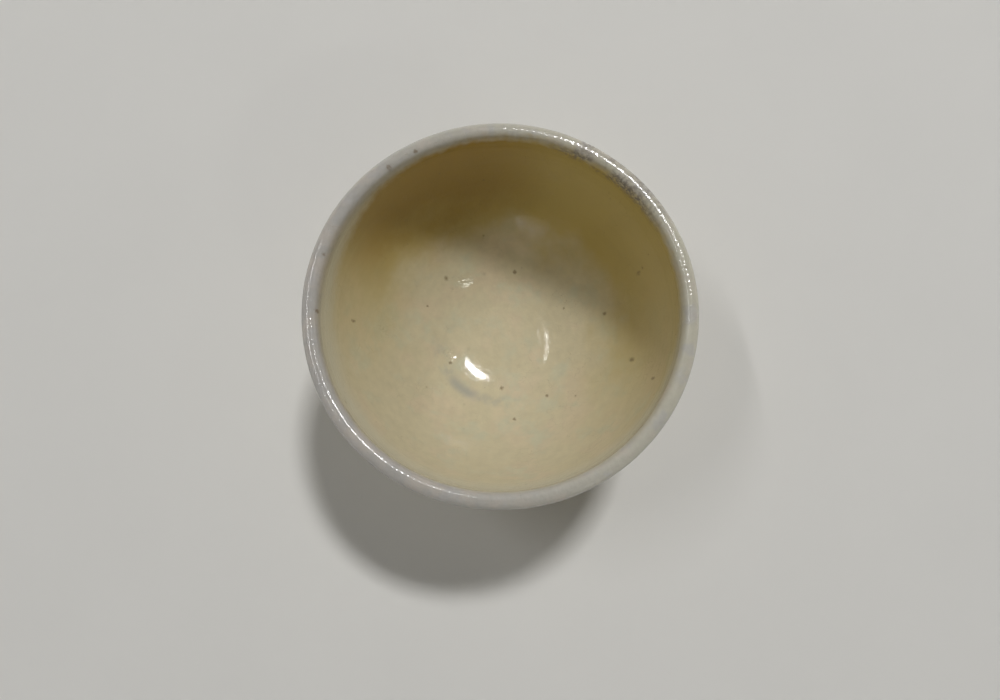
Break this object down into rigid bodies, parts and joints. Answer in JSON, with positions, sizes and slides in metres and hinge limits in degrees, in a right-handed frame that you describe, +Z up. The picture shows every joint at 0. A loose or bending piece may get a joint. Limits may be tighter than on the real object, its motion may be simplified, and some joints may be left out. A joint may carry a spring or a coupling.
{
  "type": "matcha bowl",
  "caption": "Thrown stoneware tea bowl for whisked tea: one long curve of wall to a soft, slightly turned-in lip, a sunk tea well and a bare foot ring under cream and pale glaze coats.",
  "frame": {"origin": "centre of the flat ring that the bowl stands on, on its turning axis", "axes": "+Z up along the turning axis, out of the mouth; +X and +Y are any two directions across the round bowl, with +Y away from the drinker"},
  "size_m": [0.122, 0.122, 0.078],
  "materials": {
    "bare_clay": "unglazed, matt and sandy",
    "inner_glaze": "glossy cream glaze with iron specks and fine crazing",
    "lip_glaze": "glossy pale grey-white glaze, pinholed",
    "outer_glaze": "satin-gloss pale cream glaze"
  },
  "bodies": {
    "root": {"clay_body": "bare_clay", "foot_ring": "bare_clay", "inner_glaze": "inner_glaze", "lip_glaze": "lip_glaze", "outer_glaze": "outer_glaze"}
  },
  "joints": []
}
